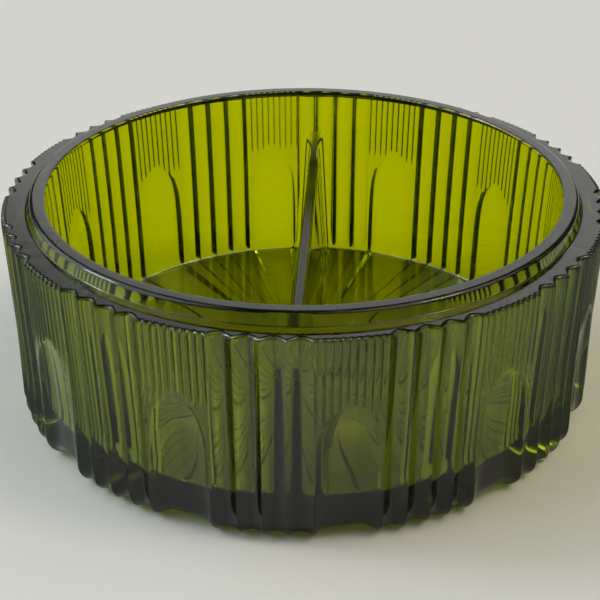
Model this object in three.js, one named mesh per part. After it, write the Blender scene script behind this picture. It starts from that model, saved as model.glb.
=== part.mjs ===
// Divided candy dish in pressed glass: a round ribbed bowl with a lid seat and one straight divider.
// Millimetres, +Z up. The origin is the middle of the foot, on the table.
// The divider runs along Y. The dish is modelled in the sections that its mould would press:
// the base, twelve alike wall panels, the rim collar and the divider.
import * as THREE from 'three';
import { mergeVertices } from 'three/addons/utils/BufferGeometryUtils.js';

// Driving dimensions

// Wall
const ridgeRadius = 89.3;     // out to the ridge lines, at the ledge
const wallFlare = 1.5;        // the ridge lines spread this much from the flare's start to the ledge
const flareDrop = 35.5;       // the flare starts this far below the ledge
const ledgeHeight = 63.5;     // flat ledge on top of the wall, where a lid would sit
const ledgeWidth = 7.3;       // from the ridge lines in to the collar's outside
const innerSlope = 2.9;       // the inside draws in this much from the collar's top to the floor
const floorFillet = 1.2;      // between the inside of the wall and the floor

// Rib pattern
const panelCount = 12;        // repeats of the pattern around the wall
const fineGrooves = 9;        // in the fine panel of each repeat
const finePitch = 2.12;       // from ridge to ridge, along the arc
const fineDepth = 0.65;
const wideGrooves = 4;        // between two fine panels
const wideDepth = 2.1;

// Scoop in each fine panel
const scoopDrop = 19;         // its pointed top, below the ledge
const scoopHalfWidth = 9;
const scoopDepth = 2.3;
const scoopTaper = 5;         // how fast the pointed top widens and deepens to full size
const fineRunOut = 8;         // the fine ribs run out this far below the top of the scoop

// Base
const floorHeight = 9;        // floor of the two compartments, above the table
const footRound = 7;          // the ribs and scoops turn under the wall on this round
const toeFlat = 0.3;          // cut off the ridges where the dish stands on them
const footFade = 0.6;         // share of their depth that the ribs lose on the foot's round
const ringWidth = 8;          // the ridges stand flat this far inwards from the foot's round
const underRise = 2;          // rise of the underside from there to its middle

// Rim collar
const collarHeight = 3.5;
const collarSlope = 1.3;      // its outside draws in this much from the ledge to its top
const collarWidth = 4.4;      // across its top
const collarFillet = 0.5;     // between the ledge and the collar's outside
const outerEdgeRound = 1.3;
const innerEdgeRound = 2;

// Divider
const dividerThickness = 3.4; // at its top
const dividerDraft = 2.4;     // each side thickens this much from its top to the floor
const dividerFillet = 2.5;    // between its sides and the floor
const dividerDrop = 19.7;     // its top edge, below the ledge
const dividerRound = 0.8;     // on both edges of its top
const sweepRadius = 9;        // its top sweeps up the wall on this round
const webRadius = 2.5;        // its sides spread along the wall on this round

const seamGap = 0.3;          // clearance between sections beside each other

// Steps of round stretches
const innerSteps = 6;         // along the inside of one wall panel
const collarSteps = 72;
const cornerSteps = 3;        // on a small round
const footSteps = 4;          // on the foot's round
const filletShares = [0, 0.33, 1];                  // levels in a fillet on the floor
const scoopShares = [0.35, 0.62, 0.8, 0.91, 1];     // levels from there to the top of a scoop
const sweepShares = [0, 0.1, 0.3, 0.6, 1];          // places in the sweep at the divider's ends
const tiny = 1e-4;            // points this close are one point

// Worked out from them
const panelAngle = 2 * Math.PI / panelCount;
const fineAngle = fineGrooves * finePitch / ridgeRadius;
const wideAngle = (panelAngle - fineAngle) / wideGrooves;
const firstPanel = fineAngle / 2 + wideAngle - Math.PI / 2; // the divider ends at a wide ridge
const panelStart = -fineAngle / 2 - Math.floor(wideGrooves / 2) * wideAngle; // from the panel's middle
const panelEnd = panelStart + panelAngle;
const collarFootRadius = ridgeRadius - ledgeWidth;
const collarTopRadius = collarFootRadius - collarSlope;
const collarTilt = Math.atan2(collarHeight, collarSlope); // of its outside, from the ledge up
const collarReach = collarFootRadius + collarFillet * Math.tan(collarTilt / 2);
const rimRadius = collarTopRadius - collarWidth; // inside of the collar, at its top
const rimHeight = ledgeHeight + collarHeight;
const innerFootRadius = rimRadius - innerSlope;
const scoopTop = ledgeHeight - scoopDrop;
const dividerTop = ledgeHeight - dividerDrop;
const footRadius = Math.min(footRound, floorHeight); // the round ends below the wall panels
const footCentre = footRadius - toeFlat;             // height of the round's centre
const ringOuter = ridgeRadius - wallFlare - footRadius;
const ringInner = ringOuter - ringWidth;
const toeShare = toeFlat / (wideDepth * (1 - footFade));

// Corners of one V groove: shares of the pitch across and of the depth down
const sharpGroove = [[0, 0], [0.5, 1]];
const toedGroove = [[0, 0], [toeShare / 2, toeShare], [0.5, 1], [1 - toeShare / 2, toeShare]];

// Glass

const glassColour = 0x7c8600;

function glass() {
  return new THREE.MeshStandardMaterial({
    color: glassColour, roughness: 0.06, metalness: 0, transparent: true, opacity: 0.6,
  });
}

// Shapes

function lerp(from, to, share) {
  return from + (to - from) * share;
}

// Height gained at a distance from a wall by a concave round that ends upright on that wall.
function coveRise(radius, distance) {
  const away = Math.max(radius - distance, 0);
  return radius - Math.sqrt(radius * radius - away * away);
}

// Inside of the wall and collar: a straight slope that ends in the fillet on the floor.
function innerRadius(z) {
  const share = (z - floorHeight) / (rimHeight - floorHeight);
  return lerp(innerFootRadius, rimRadius, share) - coveRise(floorFillet, z - floorHeight);
}

// Depth of the scoop at a distance along the arc from its middle.
function scoopCut(arc, z) {
  const growth = 1 - Math.exp(-Math.max(scoopTop - z, 0) / scoopTaper);
  if (growth === 0) {
    return 0;
  }
  return scoopDepth * growth * Math.max(1 - (arc / (scoopHalfWidth * growth)) ** 2, 0);
}

// How far the pattern cuts into the wall at one of its columns: a rib's groove or the scoop. The fade
// takes a share off the groove.
function relief({ angle, groove, runOut }, z, fade = 0) {
  const below = Math.max(scoopTop - z, 0);
  const rib = groove * (1 - fade) * Math.max(1 - below / runOut, 0);
  return Math.max(rib, scoopCut(angle * ridgeRadius, z));
}

// Outside of the wall: upright to the flare, then straight out to the ledge, less the pattern.
function outerRadius(column, z) {
  const drawIn = Math.min((ledgeHeight - z) / flareDrop, 1);
  return ridgeRadius - wallFlare * drawIn - relief(column, z);
}

// Columns of a row of V grooves without its last ridge: the angle from the panel's middle, the depth
// of the groove, and how far below the top of the scoop the groove runs out.
function grooveRow(start, pitch, count, corners, depth, runOut) {
  const columns = [];
  for (let i = 0; i < count; i += 1) {
    for (const [across, down] of corners) {
      columns.push({ angle: start + (i + across) * pitch, groove: down * depth, runOut });
    }
  }
  return columns;
}

// One repeat of the pattern, from a ridge in the middle of a wide group to that of the next.
function panelColumns(corners) {
  const leftGrooves = Math.floor(wideGrooves / 2);
  const rightGrooves = wideGrooves - leftGrooves;
  return [
    ...grooveRow(panelStart, wideAngle, leftGrooves, corners, wideDepth, Infinity),
    ...grooveRow(-fineAngle / 2, fineAngle / fineGrooves, fineGrooves, sharpGroove, fineDepth, fineRunOut),
    ...grooveRow(fineAngle / 2, wideAngle, rightGrooves, corners, wideDepth, Infinity),
  ];
}

function polar(radius, angle, z) {
  return new THREE.Vector3(radius * Math.cos(angle), radius * Math.sin(angle), z);
}

// Triangles between rings of as many points each, from every ring to the next.
function joinRings(rings) {
  const size = rings[0].length;
  const index = [];
  for (let row = 0; row + 1 < rings.length; row += 1) {
    for (let i = 0; i < size; i += 1) {
      const a = row * size + i;
      const b = row * size + (i + 1) % size;
      index.push(a, b, b + size, a, b + size, a + size);
    }
  }
  return index;
}

// Closed solid from rings of points that run anticlockwise, seen from the side they are stacked to.
// The end rings are capped in the plane that the flatten function lays them in.
function stack(rings, flatten) {
  const index = joinRings(rings);
  const last = (rings.length - 1) * rings[0].length;
  for (const [a, b, c] of THREE.ShapeUtils.triangulateShape(rings[0].map(flatten), [])) {
    index.push(a, c, b);
  }
  for (const [a, b, c] of THREE.ShapeUtils.triangulateShape(rings.at(-1).map(flatten), [])) {
    index.push(last + a, last + b, last + c);
  }
  return solid(rings.flat(), index);
}

// Solid with its like points merged. Triangles between points that are one point are left out.
function solid(points, index) {
  const geometry = new THREE.BufferGeometry().setFromPoints(points);
  geometry.setIndex(index);
  const merged = mergeVertices(geometry, tiny);
  const corners = [...merged.index.array];
  const kept = [];
  for (let i = 0; i < corners.length; i += 3) {
    const triangle = corners.slice(i, i + 3);
    if (new Set(triangle).size === 3) {
      kept.push(...triangle);
    }
  }
  merged.setIndex(kept);
  merged.computeVertexNormals();
  return merged;
}

// Wall panel: rings from the floor to the ledge, each the outside one way and the inside back. One is
// at the start of the flare.
// A last ring draws in to the collar's foot, so that the ledge around it has faces of its own.
function wallPanelGeometry() {
  const columns = [...panelColumns(sharpGroove), { angle: panelEnd, groove: 0, runOut: Infinity }];
  const filletLevels = filletShares.map((share) => floorHeight + share * floorFillet);
  const scoopLevels = scoopShares.map((share) => lerp(floorHeight + floorFillet, scoopTop, share));
  const seatRadius = collarReach + seamGap;
  const panelRing = (z, outside) => {
    const ring = columns.map((column) => polar(outside(column, z), column.angle, z));
    ring.push(polar(seatRadius, panelEnd, z));
    for (let i = 0; i <= innerSteps; i += 1) {
      ring.push(polar(innerRadius(z), lerp(panelEnd, panelStart, i / innerSteps), z));
    }
    ring.push(polar(seatRadius, panelStart, z));
    return ring.map(clearOfSeams);
  };
  const flareLevel = Math.max(ledgeHeight - flareDrop, floorHeight);
  const levels = [...filletLevels, flareLevel, ...scoopLevels, ledgeHeight].sort((a, b) => a - b);
  const rings = levels.map((z) => panelRing(z, outerRadius));
  rings.push(panelRing(ledgeHeight, () => seatRadius));
  return stack(rings, ({ x, y }) => new THREE.Vector2(x, y));
}

// A point on either end plane of a panel moves in by half the gap between panels.
function clearOfSeams(point) {
  const angle = Math.atan2(point.y, point.x);
  const along = new THREE.Vector3(-Math.sin(angle), Math.cos(angle), 0);
  if (angle < panelStart + tiny) {
    return point.addScaledVector(along, seamGap / 2);
  }
  if (angle > panelEnd - tiny) {
    return point.addScaledVector(along, -seamGap / 2);
  }
  return point;
}

// A column of the base on the foot's round, from the wall at 0 to the table at a right angle. The
// pattern turns under with the round, and the ridges are cut flat where they stand.
function footPlace(column, turn) {
  const radius = footRadius - relief(column, footCentre, footFade * Math.sin(turn));
  const z = footCentre - radius * Math.sin(turn);
  return { radius: ringOuter + radius * Math.cos(turn), z: Math.max(z, 0) };
}

// The same column at the inner end of the standing ridges, as deep as its share of the radius.
function ringPlace(column) {
  const depth = relief(column, footCentre, footFade) * ringInner / ringOuter;
  return { radius: ringInner, z: Math.max(depth - toeFlat, 0) };
}

// Base: rings from the standing ridges out over the foot and up to the floor, closed by a fan from the
// middle of the underside and one from the middle of the floor.
function baseGeometry() {
  const columns = panelColumns(toedGroove);
  const ring = (place) => {
    const points = [];
    for (let panel = 0; panel < panelCount; panel += 1) {
      for (const column of columns) {
        const { radius, z } = place(column);
        points.push(polar(radius, column.angle + panel * panelAngle, z));
      }
    }
    return points;
  };
  const rings = [ring(ringPlace)];
  for (let step = footSteps; step >= 0; step -= 1) {
    const turn = step / footSteps * Math.PI / 2;
    rings.push(ring((column) => footPlace(column, turn)));
  }
  rings.push(ring((column) => ({ radius: outerRadius(column, floorHeight), z: floorHeight })));
  const size = rings[0].length;
  const points = rings.flat();
  const index = joinRings(rings);
  const under = points.push(new THREE.Vector3(0, 0, underRise)) - 1;
  const above = points.push(new THREE.Vector3(0, 0, floorHeight)) - 1;
  const last = (rings.length - 1) * size;
  for (let i = 0; i < size; i += 1) {
    const next = (i + 1) % size;
    index.push(under, next, i);
    index.push(above, last + i, last + next);
  }
  return solid(points, index);
}

// Points on a round from one angle to the next, both in radians, about a centre.
function arc(centre, radius, from, to) {
  const points = [];
  for (let i = 0; i <= cornerSteps; i += 1) {
    const angle = lerp(from, to, i / cornerSteps);
    const across = radius * Math.cos(angle);
    const up = radius * Math.sin(angle);
    points.push(new THREE.Vector2(centre.x + across, centre.y + up));
  }
  return points;
}

// Rim collar: a closed profile of radius and height above the ledge, turned about Z.
function rimCollarGeometry() {
  const right = Math.PI / 2;
  const innerStart = new THREE.Vector2(innerRadius(ledgeHeight), 0);
  const outerEdge = {
    x: collarTopRadius - outerEdgeRound * Math.tan(collarTilt / 2), y: collarHeight - outerEdgeRound,
  };
  const innerEdge = { x: rimRadius + innerEdgeRound, y: collarHeight - innerEdgeRound };
  const profile = [
    innerStart,
    ...arc({ x: collarReach, y: collarFillet }, collarFillet, -right, -right - collarTilt),
    ...arc(outerEdge, outerEdgeRound, right - collarTilt, right),
    ...arc(innerEdge, innerEdgeRound, right, 2 * right),
    innerStart,
  ];
  const geometry = new THREE.LatheGeometry(profile, collarSteps);
  geometry.deleteAttribute('normal');
  geometry.deleteAttribute('uv');
  geometry.rotateX(right);
  return mergeVertices(geometry, tiny);
}

// Half the divider's thickness at a height: a straight draft, spread by the fillet on the floor.
function dividerHalf(z) {
  const draft = dividerDraft * (dividerTop - z) / (dividerTop - floorHeight);
  return dividerThickness / 2 + draft + coveRise(dividerFillet, z - floorHeight);
}

// Divider: upright sections across its thickness, stacked along its length from wall to wall.
function dividerGeometry() {
  const reach = innerFootRadius;
  const shares = sweepShares.map((share) => 1 - share * sweepRadius / reach);
  const stations = [...shares.map((share) => -share), 0, ...shares.toReversed()];
  const rings = stations.map((share) => {
    const distance = (1 - Math.abs(share)) * reach;
    const top = dividerTop + coveRise(sweepRadius, distance);
    const levels = filletShares.map((rise) => floorHeight + rise * dividerFillet);
    levels.push(top - dividerRound);
    const side = levels.map((z) => ({ x: dividerHalf(z) + coveRise(webRadius, distance), z }));
    side.push({ x: side.at(-1).x - dividerRound, z: top });
    const outline = [...side, ...side.toReversed().map(({ x, z }) => ({ x: -x, z }))];
    return outline.map(({ x, z }) => new THREE.Vector3(x, share * endReach(x, z), z)).reverse();
  });
  return stack(rings, ({ x, z }) => new THREE.Vector2(-x, z));
}

// How far the divider reaches at a point of its end: to the gap in front of the round wall.
function endReach(x, z) {
  const wall = innerRadius(z) * Math.cos(panelAngle / innerSteps / 2);
  return Math.sqrt(wall * wall - x * x) - seamGap;
}

// Assembly

const dish = new THREE.Group();
dish.name = 'divided_candy_dish';

function addSection(name, geometry) {
  const mesh = new THREE.Mesh(geometry, glass());
  mesh.name = name;
  dish.add(mesh);
  return mesh;
}

addSection('base', baseGeometry()).rotation.z = firstPanel;

const wallPanel = wallPanelGeometry();
for (let panel = 0; panel < panelCount; panel += 1) {
  const name = `wall_panel_${String(panel + 1).padStart(2, '0')}`;
  addSection(name, wallPanel).rotation.z = firstPanel + panel * panelAngle;
}

addSection('rim_collar', rimCollarGeometry()).position.z = ledgeHeight;
addSection('divider', dividerGeometry());

export default dish;
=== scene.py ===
"""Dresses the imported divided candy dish: one unbroken piece of olive green pressed glass on pale paper.

The frame's sections stand for one moulding, so a single closed surface replaces them all: glass only
bends light rightly where no seam lies inside it. Lengths are written in millimetres and become metres
when a mesh is made.
"""
import math
from collections import namedtuple

import bpy
import numpy as np
from mathutils import Matrix, Vector


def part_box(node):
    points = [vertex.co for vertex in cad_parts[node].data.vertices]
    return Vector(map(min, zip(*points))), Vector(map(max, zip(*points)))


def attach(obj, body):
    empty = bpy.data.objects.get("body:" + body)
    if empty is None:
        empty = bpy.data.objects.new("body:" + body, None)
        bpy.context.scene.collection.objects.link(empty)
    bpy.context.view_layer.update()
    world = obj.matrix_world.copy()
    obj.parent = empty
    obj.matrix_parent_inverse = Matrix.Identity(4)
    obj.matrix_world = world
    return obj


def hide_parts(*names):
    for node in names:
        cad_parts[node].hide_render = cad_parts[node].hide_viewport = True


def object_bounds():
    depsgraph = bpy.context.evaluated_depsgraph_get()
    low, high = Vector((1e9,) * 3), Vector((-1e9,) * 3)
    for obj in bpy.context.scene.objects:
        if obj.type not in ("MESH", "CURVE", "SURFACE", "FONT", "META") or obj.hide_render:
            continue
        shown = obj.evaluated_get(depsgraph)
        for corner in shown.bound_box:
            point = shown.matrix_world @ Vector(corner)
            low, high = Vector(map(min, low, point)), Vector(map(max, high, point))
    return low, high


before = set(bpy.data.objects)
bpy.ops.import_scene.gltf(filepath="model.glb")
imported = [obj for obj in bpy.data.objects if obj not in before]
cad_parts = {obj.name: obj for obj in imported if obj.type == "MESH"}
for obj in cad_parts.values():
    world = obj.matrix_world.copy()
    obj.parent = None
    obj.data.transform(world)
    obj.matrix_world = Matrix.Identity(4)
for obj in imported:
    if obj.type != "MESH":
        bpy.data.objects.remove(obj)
CAD_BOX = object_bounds()
MM = 0.001


def top_of(node):
    """Height of a frame section's highest point, in millimetres."""
    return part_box(node)[1][2] / MM


def reach_of(node):
    """Largest X of a frame section, in millimetres."""
    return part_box(node)[1][0] / MM


# Sizes taken from the frame
RIDGE_RADIUS = CAD_BOX[1][0] / MM
LEDGE = top_of("wall_panel_01")
FLOOR = top_of("base")
RIM_TOP = top_of("rim_collar")
COLLAR_REACH = reach_of("rim_collar")
SWEEP_TOP = top_of("divider")

# Wall and rib pattern
WALL_FLARE = 1.5           # the ridge lines spread this much from the flare's start to the ledge
FLARE_DROP = 35.5          # the flare starts this far below the ledge
FLARE_SOFTNESS = 0.02      # of the bend there, as the square of a share of that drop
PANELS = 12
FINE_GROOVES = 9
FINE_PITCH = 2.12
FINE_DEPTH = 0.65
WIDE_GROOVES = 4
WIDE_DEPTH = 2.1
GROOVE_FLATNESS = 0.4      # of the grooves' sides: 1 is a plain V, 0 a parabola
LEDGE_ROUND = 1.0
LEDGE_FLAT = 1.3           # the ledge is level from this far inside its edge

# Scoops
SCOOP_DROP = 19.0
SCOOP_HALF_WIDTH = 9.0
SCOOP_DEPTH = 2.3
SCOOP_TAPER = 5.0
FINE_RUN_OUT = 8.0         # the fine ribs run out this far below the top of the scoop

# Base
FOOT_ROUND = 7.0
TOE_FLAT = 0.3             # cut off the ridges where the dish stands on them
FOOT_FADE = 0.6            # share of their depth that the ribs lose on the foot's round
RING_WIDTH = 8.0
UNDER_RISE = 2.0
TABLE_ROUND = 0.15         # where the ridges meet the table
STAR_SHARE = 0.85          # share of the foot's relief that runs on into the star under the base
STAR_SOFTNESS = 0.15       # rounds the star's ridges and valleys

# Collar and inside
COLLAR_SLOPE = 1.3
COLLAR_WIDTH = 4.4
COLLAR_FILLET = 0.5
OUTER_EDGE_ROUND = 1.3
INNER_EDGE_ROUND = 0.8
INNER_SLOPE = 2.9          # the inside draws in this much from the collar's top to the floor
FLOOR_FILLET = 1.2

# Divider
DIVIDER_THICKNESS = 3.4
DIVIDER_DRAFT = 2.4        # each side thickens this much from its top to the floor
DIVIDER_ROUND = 0.8
DIVIDER_FILLET = 2.5
SWEEP_RADIUS = 9.0
WEB_RADIUS = 2.5

# Rows and columns of the mesh
FINE_STEPS = 8
WIDE_STEPS = 16
UNDERSIDE_RADII = (1, 5, 15, 30, 50)
FOOT_STEPS = 8
FIRST_ROW = 3.0            # above the centre of the foot's round
ROW_STEP = 4.0             # between rows on the plain wall
ARCH_DROP = 13.0           # closer rows start this far below the tops of the scoops
ARCH_RISE = 1.5            # and end this far above them
ARCH_STEP = 0.9
TOP_ROW_DROP = 6.0         # a last plain row, below the ledge
LEDGE_STEPS = 3
LEDGE_STOP = 0.5           # the ledge's rows stop this far outside the collar
COLLAR_START = 0.2         # the collar's rows start this far outside it
COLLAR_STEPS = 8
COLLAR_COLUMNS = 360
RIM_FLAT = 0.3             # rows on the rim's flat top, this far from its rounds
RIM_STEPS = 8
INNER_WALL_STEPS = 8
FLOOR_FILLET_STEPS = 6
FLOOR_STEPS = 55
DIVIDER_TOP_SHARES = (0, 0.5, 0.9)
DIVIDER_ROUND_STEPS = 4
DIVIDER_FLANK_STEPS = 14
DIVIDER_FILLET_STEPS = 5
DIVIDER_STATIONS = (0, 0.12, 0.35, 0.7, 1.2, 1.8, 2.5, 3.6, 5, 6.7, 9, 13, 24, 44)   # from the round wall

# Worked out from them
PANEL_ANGLE = 2 * math.pi / PANELS
FINE_ANGLE = FINE_GROOVES * FINE_PITCH / RIDGE_RADIUS
WIDE_ANGLE = (PANEL_ANGLE - FINE_ANGLE) / WIDE_GROOVES
FIRST_PANEL = FINE_ANGLE / 2 + WIDE_ANGLE - math.pi / 2
SCOOP_TOP = LEDGE - SCOOP_DROP
COLLAR_TILT = math.atan2(RIM_TOP - LEDGE, COLLAR_SLOPE)
COLLAR_TOP_RADIUS = COLLAR_REACH - COLLAR_FILLET * math.tan(COLLAR_TILT / 2) - COLLAR_SLOPE
RIM_RADIUS = COLLAR_TOP_RADIUS - COLLAR_WIDTH
INNER_FOOT_RADIUS = RIM_RADIUS - INNER_SLOPE
RING_OUTER = RIDGE_RADIUS - WALL_FLARE - FOOT_ROUND
RING_INNER = RING_OUTER - RING_WIDTH
FOOT_CENTRE = FOOT_ROUND - TOE_FLAT
DIVIDER_TOP = SWEEP_TOP - SWEEP_RADIUS


# Shapes

Columns = namedtuple("Columns", "turn local groove star fine")


def cove(radius, distance):
    """Height that a concave round gains at a distance from the wall it ends upright on."""
    away = np.clip(radius - distance, 0, radius)
    return radius - np.sqrt(radius ** 2 - away ** 2)


def quarter(steps):
    """Angles along a quarter turn, both ends included."""
    return np.linspace(0, math.pi / 2, steps + 1)


def ridge_radius(z):
    """Ridge lines of the wall: upright, then spread straight out to the ledge, with a soft bend between."""
    rise = (z - LEDGE) / FLARE_DROP + 1
    bend = (rise + math.sqrt(rise ** 2 + FLARE_SOFTNESS)) / (1 + math.sqrt(1 + FLARE_SOFTNESS))
    return RIDGE_RADIUS - WALL_FLARE * (1 - bend)


def inner_radius(z):
    """Inside of the wall: a straight draft from floor to rim, less the fillet on the floor."""
    share = (z - FLOOR) / (RIM_TOP - FLOOR)
    return INNER_FOOT_RADIUS + INNER_SLOPE * share - cove(FLOOR_FILLET, z - FLOOR)


def soft_wave(share, softness):
    """Triangle wave from 0 at a ridge to 1 at a valley, rounded at both: acos((1 - s) cos 2 pi u)."""
    margin = math.acos(1 - softness) / math.pi
    wave = np.arccos((1 - softness) * np.cos(2 * math.pi * share)) / math.pi
    return (wave - margin) / (1 - 2 * margin)


def flute_shares(steps):
    """Shares of one groove from ridge to ridge, crowded towards the ridges: (1 - cos(pi v)) / 2."""
    return (1 - np.cos(math.pi * np.arange(steps) / steps)) / 2


def flute(share, depth):
    """Depth of a hollow groove between sharp ridges: d (1 - (f t + (1 - f) t^2)), t = 1 at a ridge."""
    from_valley = np.abs(2 * share - 1)
    return depth * (1 - from_valley * (GROOVE_FLATNESS + (1 - GROOVE_FLATNESS) * from_valley))


def wall_columns():
    """Columns around the wall: angle, angle from the panel's middle, groove on the wall, groove of the
    star under the base, and if the groove is fine."""
    fine = flute_shares(FINE_STEPS)
    wide = flute_shares(WIDE_STEPS)
    fine_start = np.arange(FINE_GROOVES)[:, None] * FINE_ANGLE / FINE_GROOVES - FINE_ANGLE / 2
    wide_start = np.arange(WIDE_GROOVES)[:, None] * WIDE_ANGLE + FINE_ANGLE / 2
    local = np.concatenate([
        (fine_start + fine * FINE_ANGLE / FINE_GROOVES).ravel(),
        (wide_start + wide * WIDE_ANGLE).ravel(),
    ])
    groove = np.concatenate([
        np.tile(flute(fine, FINE_DEPTH), FINE_GROOVES),
        np.tile(flute(wide, WIDE_DEPTH), WIDE_GROOVES),
    ])
    star = np.concatenate([
        np.zeros(FINE_GROOVES * len(fine)),
        np.tile(WIDE_DEPTH * soft_wave(wide, STAR_SOFTNESS), WIDE_GROOVES),
    ])
    is_fine = np.abs(local) < FINE_ANGLE / 2
    turn = FIRST_PANEL + np.arange(PANELS)[:, None] * PANEL_ANGLE + local
    turn = (turn.ravel() + math.pi) % (2 * math.pi) - math.pi
    order = np.argsort(turn)
    return Columns(turn[order], *(np.tile(part, PANELS)[order] for part in (local, groove, star, is_fine)))


def scoop_cut(arc, z):
    """Depth of a scoop: 1 - t^4 across, so steep at its edges. It grows downwards from its pointed top."""
    growth = 1 - math.exp(-max(SCOOP_TOP - z, 0) / SCOOP_TAPER)
    if growth == 0:
        return np.zeros_like(arc)
    return SCOOP_DEPTH * growth * np.maximum(1 - (arc / (SCOOP_HALF_WIDTH * growth)) ** 4, 0)


def relief(columns, z, fade=0.0):
    """How deep the pattern cuts at a height: faded ribs, of which the fine ones run out, or a scoop."""
    left = max(1 - max(SCOOP_TOP - z, 0) / FINE_RUN_OUT, 0)
    ribs = columns.groove * (1 - fade) * np.where(columns.fine, left, 1)
    return np.maximum(ribs, scoop_cut(columns.local * RIDGE_RADIUS, z))


def soft_floor(z):
    """Heights kept above the table, with a small round where they meet it: (z + sqrt(z^2 + s^2)) / 2."""
    return (z + np.sqrt(z ** 2 + TABLE_ROUND ** 2)) / 2


def ring(radius, turn, z):
    """Points at a radius, an angle and a height, each one value or one for every column."""
    radius, turn, z = np.broadcast_arrays(radius, turn, z)
    return np.stack([radius * np.cos(turn), radius * np.sin(turn), z], axis=-1)


class Skin:
    """A closed surface collected as points and faces. Each point carries how satin the glass is there."""

    def __init__(self):
        self.points = []
        self.satin = []
        self.faces = []
        self.count = 0

    def add(self, points, satin=0.0):
        """Adds points of any array shape and returns their indices in that shape."""
        index = np.arange(self.count, self.count + points[..., 0].size).reshape(points.shape[:-1])
        self.points.append(points.reshape(-1, 3))
        self.satin.append(np.broadcast_to(satin, index.shape).ravel())
        self.count += index.size
        return index

    def grid(self, rows, closed=True):
        """Quads between rows of indices, each row joined to the next."""
        ahead = np.roll(rows, -1, axis=1)
        quads = np.stack([rows[:-1], ahead[:-1], ahead[1:], rows[1:]], axis=-1)
        if not closed:
            quads = quads[:, :-1]
        self.faces.extend(quads.reshape(-1, 4).tolist())

    def fan(self, tip, chain):
        """Triangles from one point to every edge of a chain of indices."""
        self.faces.extend(np.stack([np.full(len(chain) - 1, tip), chain[:-1], chain[1:]], axis=-1).tolist())

    def zip(self, turn_a, a, turn_b, b):
        """Triangles between two closed rings whose columns differ, taken in the order of their angles."""
        order = np.argsort(np.concatenate([turn_a, turn_b]), kind="stable")
        on_a = order < len(a)
        i = np.cumsum(on_a) - 1
        j = np.cumsum(~on_a) - 1
        step_a = np.stack([a[i - 1], a[i], b[j]], axis=-1)
        step_b = np.stack([a[i], b[j], b[j - 1]], axis=-1)
        self.faces.extend(np.where(on_a[:, None], step_a, step_b).tolist())

    def mesh(self, name):
        """The object of this surface, in metres."""
        data = bpy.data.meshes.new(name)
        data.from_pydata((np.concatenate(self.points) * MM).tolist(), [], self.faces)
        satin = data.attributes.new("satin", "FLOAT", "POINT")
        satin.data.foreach_set("value", np.concatenate(self.satin))
        data.validate()
        data.shade_smooth()
        piece = bpy.data.objects.new(name, data)
        bpy.context.scene.collection.objects.link(piece)
        return piece


def outer_rows(skin, columns):
    """Underside, foot and ribbed wall: rows of points from the middle of the base to the ledge.

    On the foot the pattern cuts along the normal of the round, and on the underside straight up and in
    proportion to the radius.
    """
    turn = columns.turn
    scoops = scoop_cut(columns.local * RIDGE_RADIUS, FOOT_CENTRE)
    star = STAR_SHARE * np.maximum(columns.star * (1 - FOOT_FADE), scoops)
    rows = []
    for radius in (*UNDERSIDE_RADII, RING_INNER, (RING_INNER + RING_OUTER) / 2):
        rise = UNDER_RISE * max(1 - radius / RING_INNER, 0)
        rows.append(ring(radius, turn, soft_floor(star * radius / RING_OUTER - TOE_FLAT) + rise))
    for angle in quarter(FOOT_STEPS)[::-1]:
        reach = FOOT_ROUND - relief(columns, FOOT_CENTRE, FOOT_FADE * math.sin(angle))
        height = soft_floor(FOOT_CENTRE - reach * math.sin(angle))
        rows.append(ring(RING_OUTER + reach * math.cos(angle), turn, height))
    low_heights = np.arange(FOOT_CENTRE + FIRST_ROW, SCOOP_TOP - ARCH_DROP, ROW_STEP)
    arch_heights = np.arange(SCOOP_TOP - ARCH_DROP, SCOOP_TOP + ARCH_RISE, ARCH_STEP)
    top_heights = [LEDGE - TOP_ROW_DROP, LEDGE - 2 * LEDGE_ROUND, LEDGE - LEDGE_ROUND]
    for z in np.concatenate([low_heights, arch_heights, top_heights]):
        rows.append(ring(ridge_radius(z) - relief(columns, z), turn, z))
    edge = ridge_radius(LEDGE) - columns.groove
    for angle in quarter(LEDGE_STEPS)[1:]:
        inset = LEDGE_ROUND * (1 - math.cos(angle))
        rows.append(ring(edge - inset, turn, LEDGE - LEDGE_ROUND * (1 - math.sin(angle))))
    rows.append(ring(edge - LEDGE_FLAT, turn, LEDGE))
    rows.append(ring(COLLAR_REACH + LEDGE_STOP, turn, LEDGE))
    return skin.add(np.stack(rows))


def collar_rows(skin, turn):
    """Outside of the rim collar: fillet on the ledge, sloped face and rounded top edge."""
    angle = np.linspace(0, COLLAR_TILT, COLLAR_STEPS + 1)
    fillet_r = COLLAR_REACH - COLLAR_FILLET * np.sin(angle)
    fillet_z = LEDGE + COLLAR_FILLET * (1 - np.cos(angle))
    edge_centre = COLLAR_TOP_RADIUS - OUTER_EDGE_ROUND * math.tan(COLLAR_TILT / 2)
    round_r = edge_centre + OUTER_EDGE_ROUND * np.sin(angle[::-1])
    round_z = RIM_TOP - OUTER_EDGE_ROUND * (1 - np.cos(angle[::-1]))
    radii = np.concatenate([[COLLAR_REACH + COLLAR_START], fillet_r, round_r, [edge_centre - RIM_FLAT]])
    heights = np.concatenate([[LEDGE], fillet_z, round_z, [RIM_TOP]])
    return skin.add(np.stack([ring(r, turn, z) for r, z in zip(radii, heights)]))


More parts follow.
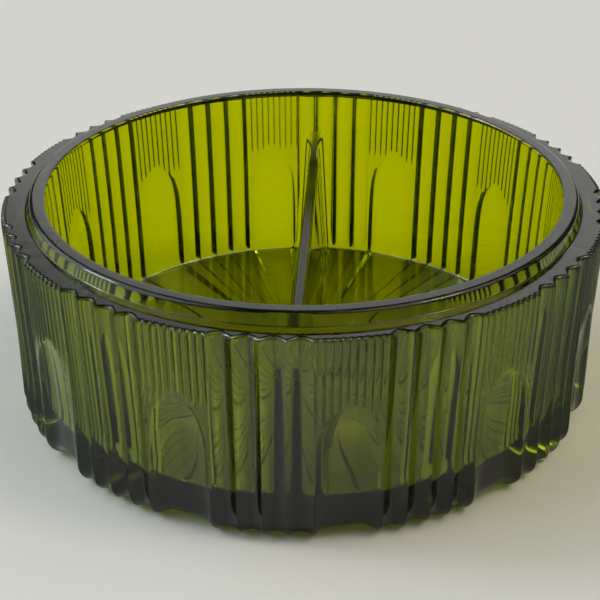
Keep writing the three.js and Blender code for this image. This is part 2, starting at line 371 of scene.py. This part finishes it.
def divider_section(distance):
    """Half of the inside floor, from the divider's middle outwards, at distances from the round wall.

    Across: flat top, rounded edge, drafted flank, fillet, flat floor. Near the wall the top sweeps up
    and the flank spreads sideways, each on its own round. Returns X, Z and satin by station and distance.
    """
    top = DIVIDER_TOP + cove(SWEEP_RADIUS, distance)
    web = cove(WEB_RADIUS, distance)

    def half(z):
        thickening = DIVIDER_DRAFT * (DIVIDER_TOP - z) / (DIVIDER_TOP - FLOOR)
        return DIVIDER_THICKNESS / 2 + thickening + web

    x, z = [], []
    shoulder = half(top) - DIVIDER_ROUND
    for share in DIVIDER_TOP_SHARES:
        x.append(share * shoulder)
        z.append(top)
    for angle in quarter(DIVIDER_ROUND_STEPS):
        x.append(shoulder + DIVIDER_ROUND * math.sin(angle))
        z.append(top - DIVIDER_ROUND * (1 - math.cos(angle)))
    foot = FLOOR + DIVIDER_FILLET
    for share in np.linspace(0, 1, DIVIDER_FLANK_STEPS + 1)[1:]:
        height = (top - DIVIDER_ROUND) * (1 - share) + foot * share
        x.append(half(height))
        z.append(height)
    spread = half(np.full_like(distance, foot))
    for angle in quarter(DIVIDER_FILLET_STEPS)[1:]:
        x.append(spread + DIVIDER_FILLET * (1 - math.cos(angle)))
        z.append(np.full_like(distance, foot - DIVIDER_FILLET * math.sin(angle)))
    floor_edge = INNER_FOOT_RADIUS - FLOOR_FILLET
    start = x[-1]
    angles = math.acos(start[0] / floor_edge) * (1 - np.arange(1, FLOOR_STEPS + 1) / FLOOR_STEPS)
    for angle in angles:
        share = (floor_edge * math.cos(angle) - start[0]) / (floor_edge - start[0])
        x.append(start * (1 - share) + floor_edge * share)
        z.append(np.full_like(distance, FLOOR))
    return np.stack(x), np.stack(z), np.stack(z) == top


def inside(skin, turn_above, ring_above):
    """Inside of the dish: rim, wall and floor with the divider, joined to the ring on top of the collar."""
    distance = np.array([*DIVIDER_STATIONS, INNER_FOOT_RADIUS])
    x, z, satin = divider_section(distance)
    share = 1 - distance / INNER_FOOT_RADIUS
    y = share * np.sqrt(np.maximum(inner_radius(z) ** 2 - x ** 2, 0))

    def whole(quarter_part, sign_x, sign_y):
        """All four quarters of the inside: mirrored across the divider, then along it."""
        half_part = np.concatenate([sign_x * quarter_part[:0:-1], quarter_part])
        return np.concatenate([sign_y * half_part, half_part[:, -2::-1]], axis=1)

    patch = np.stack([whole(x, -1, 1), whole(y, 1, -1), whole(z, 1, 1)], axis=-1)
    index = skin.add(patch[1:-1], whole(satin * 1.0, 1, 1)[1:-1])
    left, right = skin.add(patch[[0, -1], 0])
    skin.grid(index.T, closed=False)
    skin.fan(left, index[0])
    skin.fan(right, index[-1][::-1])
    boundary = np.concatenate([[left], index[:, 0], [right], index[::-1, -1]])
    low = np.concatenate([patch[[0], 0], patch[1:-1, 0], patch[[-1], 0], patch[-2:0:-1, -1]])
    turn = np.arctan2(low[:, 1], low[:, 0])
    turn[0] = -math.pi
    rim = RIM_TOP - INNER_EDGE_ROUND
    fillet_angles = quarter(FLOOR_FILLET_STEPS)[1:]
    heights = [low[:, 2] + FLOOR_FILLET * (1 - math.cos(angle)) for angle in fillet_angles]
    wall_steps = np.linspace(0, 1, INNER_WALL_STEPS + 1)[1:]
    heights += [heights[-1] * (1 - step) + rim * step for step in wall_steps]
    rows = [ring(inner_radius(height), turn, height) for height in heights]
    for angle in quarter(RIM_STEPS)[1:]:
        radius = inner_radius(RIM_TOP) + INNER_EDGE_ROUND * (1 - math.cos(angle))
        rows.append(ring(radius, turn, RIM_TOP - INNER_EDGE_ROUND * (1 - math.sin(angle))))
    rows.append(ring(radius + RIM_FLAT, turn, RIM_TOP))
    wall = np.concatenate([skin.add(np.stack(rows[::-1])), boundary[None]])
    skin.grid(wall)
    skin.zip(turn_above, ring_above, turn, wall[0])


def dish_glass():
    """The whole dish as one closed surface, from the middle of the underside to the floor inside."""
    skin = Skin()
    columns = wall_columns()
    outer = outer_rows(skin, columns)
    skin.grid(outer)
    pole = skin.add(np.array([[0, 0, UNDER_RISE]]))[0]
    skin.fan(pole, np.append(outer[0], outer[0][0])[::-1])
    collar_turn = np.linspace(-math.pi, math.pi, COLLAR_COLUMNS + 1)[:-1]
    collar = collar_rows(skin, collar_turn)
    skin.grid(collar)
    skin.zip(columns.turn, outer[-1], collar_turn, collar[0])
    inside(skin, collar_turn, collar[-1])
    return skin.mesh("dish_glass")


# Materials

SODA_GLASS_IOR = 1.52
POLISHED = 0.03            # roughness that the fire polish leaves
SATIN = 0.3                # roughness of the divider's top
WAVE_SIZE = 14.0           # faint waves that the press leaves
WAVE_HEIGHT = 0.4
WAVE_STRENGTH = 0.12
GLASS_TINT = "#F9FA00"     # what the glass lets through: red and green, and no blue
GLASS_DENSITY = 850.0      # absorbs this times (1 - tint) per metre
PAPER_WHITE = "#E6E6E2"
PAPER_ROUGHNESS = 0.9


def linear(code):
    """sRGB hex colour to linear RGBA."""
    channels = [int(code[i:i + 2], 16) / 255 for i in (1, 3, 5)]
    return [c / 12.92 if c <= 0.04045 else ((c + 0.055) / 1.055) ** 2.4 for c in channels] + [1.0]


def add_node(tree, kind, settings=None, links=None):
    """Adds a node, sets its properties and input values, and links inputs to other nodes' outputs.

    A name is a property or an input, and a number is an input's place.
    """
    node = tree.nodes.new(kind)
    for name, value in (settings or {}).items():
        if isinstance(name, int) or name in node.inputs:
            node.inputs[name].default_value = value
        else:
            setattr(node, name, value)
    for name, source in (links or {}).items():
        tree.links.new(source, node.inputs[name])
    return node


def olive_pressed_glass():
    """Soda glass, green by its depth: fire-polished and faintly wavy, but satin on the divider's top."""
    material = bpy.data.materials.new("olive_pressed_glass")
    material.use_nodes = True
    tree = material.node_tree
    tree.nodes.clear()
    place = add_node(tree, "ShaderNodeTexCoord").outputs["Object"]
    waves = add_node(tree, "ShaderNodeTexNoise", {"Scale": 1 / (WAVE_SIZE * MM)}, {"Vector": place})
    bump = add_node(tree, "ShaderNodeBump", {"Strength": WAVE_STRENGTH, "Distance": WAVE_HEIGHT * MM},
                    {"Height": waves.outputs["Fac"]})
    satin = add_node(tree, "ShaderNodeAttribute", {"attribute_name": "satin"})
    roughness = add_node(tree, "ShaderNodeMapRange", {"To Min": POLISHED, "To Max": SATIN},
                         {"Value": satin.outputs["Fac"]})
    surface = add_node(tree, "ShaderNodeBsdfPrincipled", {
        "Base Color": linear("#FFFFFF"), "IOR": SODA_GLASS_IOR, "Transmission Weight": 1.0,
    }, {"Roughness": roughness.outputs["Result"], "Normal": bump.outputs["Normal"]})
    depth = add_node(tree, "ShaderNodeVolumeAbsorption", {
        "Color": linear(GLASS_TINT), "Density": GLASS_DENSITY,
    })
    add_node(tree, "ShaderNodeOutputMaterial", links={
        "Surface": surface.outputs["BSDF"], "Volume": depth.outputs["Volume"],
    })
    return material


def plain_paper():
    """Matt off-white paper."""
    material = bpy.data.materials.new("plain_paper")
    material.use_nodes = True
    shader = material.node_tree.nodes["Principled BSDF"]
    shader.inputs["Base Color"].default_value = linear(PAPER_WHITE)
    shader.inputs["Roughness"].default_value = PAPER_ROUGHNESS
    return material


# Stage, light and camera

PAPER_REACH = 6.0          # in metres, from the middle to each edge
CAMERA_DISTANCE = 440.5    # from the middle of the ledge
CAMERA_ELEVATION = 24.18
CAMERA_AZIMUTH = 2.83
CAMERA_TILT = 28.37        # looks down by this much
CAMERA_SWING = 0.17        # and past the middle by this much
CAMERA_ROLL = -0.13
SENSOR_WIDTH = 36.0
FOCAL_LENGTH = 88.2
LIGHT_BOUNCES = 24         # enough for light to cross both walls and the divider
ROOM_LIGHT = 0.08
LIGHTS = (   # towards the light, angles that it fills and that it fades out by, strength, colour
    ((0.0, 0.98, 0.20), 17, 23, 1.0, "#FAFAF6"),       # pale wall behind the dish
    ((-0.80, 0.10, 0.59), 20, 45, 1.8, "#F2F8FF"),     # bright side of the room, on the left
    ((-0.80, 0.10, 0.59), 5, 9, 12.0, "#E9F4FF"),      # window there
    ((0.55, -0.05, 0.83), 12, 35, 1.5, "#FFF6E6"),     # lit ceiling, on the right
    ((0.55, -0.05, 0.83), 4, 8, 9.0, "#FFEFC8"),       # lamp there
)


def paper_floor():
    """A wide flat sheet of paper under the dish: a square carried out to the horizon."""
    corners = [(x * PAPER_REACH, y * PAPER_REACH, 0) for x, y in ((-1, -1), (1, -1), (1, 1), (-1, 1))]
    data = bpy.data.meshes.new("paper_floor")
    data.from_pydata(corners, [], [(0, 1, 2, 3)])
    data.materials.append(plain_paper())
    floor = bpy.data.objects.new("paper_floor", data)
    bpy.context.scene.collection.objects.link(floor)


def aimed(position, heading, tilt, roll):
    """Place of a camera: turned about Z from looking along +Y, tilted down, then rolled."""
    turn = Matrix.Rotation(math.radians(heading), 4, "Z")
    lean = Matrix.Rotation(math.radians(90 - tilt), 4, "X")
    return Matrix.Translation(position) @ turn @ lean @ Matrix.Rotation(math.radians(roll), 4, "Z")


def studio_light():
    """A dim room with a few soft lights, each a round patch of the surroundings with a faded edge."""
    world = bpy.data.worlds.new("studio")
    bpy.context.scene.world = world
    world.use_nodes = True
    tree = world.node_tree
    tree.nodes.clear()
    place = add_node(tree, "ShaderNodeTexCoord").outputs["Generated"]
    total = add_node(tree, "ShaderNodeVectorMath", {"operation": "ADD", 0: [ROOM_LIGHT] * 3})
    for towards, full, gone, strength, colour in LIGHTS:
        aim = Vector(towards).normalized()
        nearness = add_node(tree, "ShaderNodeVectorMath", {"operation": "DOT_PRODUCT", 1: aim}, {0: place})
        share = add_node(tree, "ShaderNodeMapRange", {
            "interpolation_type": "SMOOTHSTEP", "From Min": math.cos(math.radians(gone)),
            "From Max": math.cos(math.radians(full)), "To Max": strength,
        }, {"Value": nearness.outputs["Value"]})
        patch = add_node(tree, "ShaderNodeVectorMath", {"operation": "SCALE", 0: linear(colour)[:3]},
                         {"Scale": share.outputs["Result"]})
        total = add_node(tree, "ShaderNodeVectorMath", {"operation": "ADD"},
                         {0: total.outputs["Vector"], 1: patch.outputs["Vector"]})
    sky = add_node(tree, "ShaderNodeBackground", links={"Color": total.outputs["Vector"]})
    add_node(tree, "ShaderNodeOutputWorld", links={"Surface": sky.outputs["Background"]})


def photo_camera():
    """The photograph's view: place and aim fitted to the ribs, the collar and the foot."""
    elevation = math.radians(CAMERA_ELEVATION)
    azimuth = math.radians(CAMERA_AZIMUTH)
    flat = CAMERA_DISTANCE * math.cos(elevation)
    height = LEDGE + CAMERA_DISTANCE * math.sin(elevation)
    position = Vector((flat * math.sin(azimuth), -flat * math.cos(azimuth), height)) * MM
    data = bpy.data.cameras.new("photo_camera")
    data.sensor_width = SENSOR_WIDTH
    data.lens = FOCAL_LENGTH
    camera = bpy.data.objects.new("photo_camera", data)
    camera.matrix_world = aimed(position, CAMERA_AZIMUTH + CAMERA_SWING, CAMERA_TILT, CAMERA_ROLL)
    bpy.context.scene.collection.objects.link(camera)
    bpy.context.scene.camera = camera


photo_camera()
paper_floor()
studio_light()
dish = dish_glass()
dish.data.materials.append(olive_pressed_glass())
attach(dish, "root")
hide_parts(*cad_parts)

scene = bpy.context.scene
scene.view_settings.view_transform = "Standard"
scene.cycles.max_bounces = LIGHT_BOUNCES
scene.cycles.transmission_bounces = LIGHT_BOUNCES
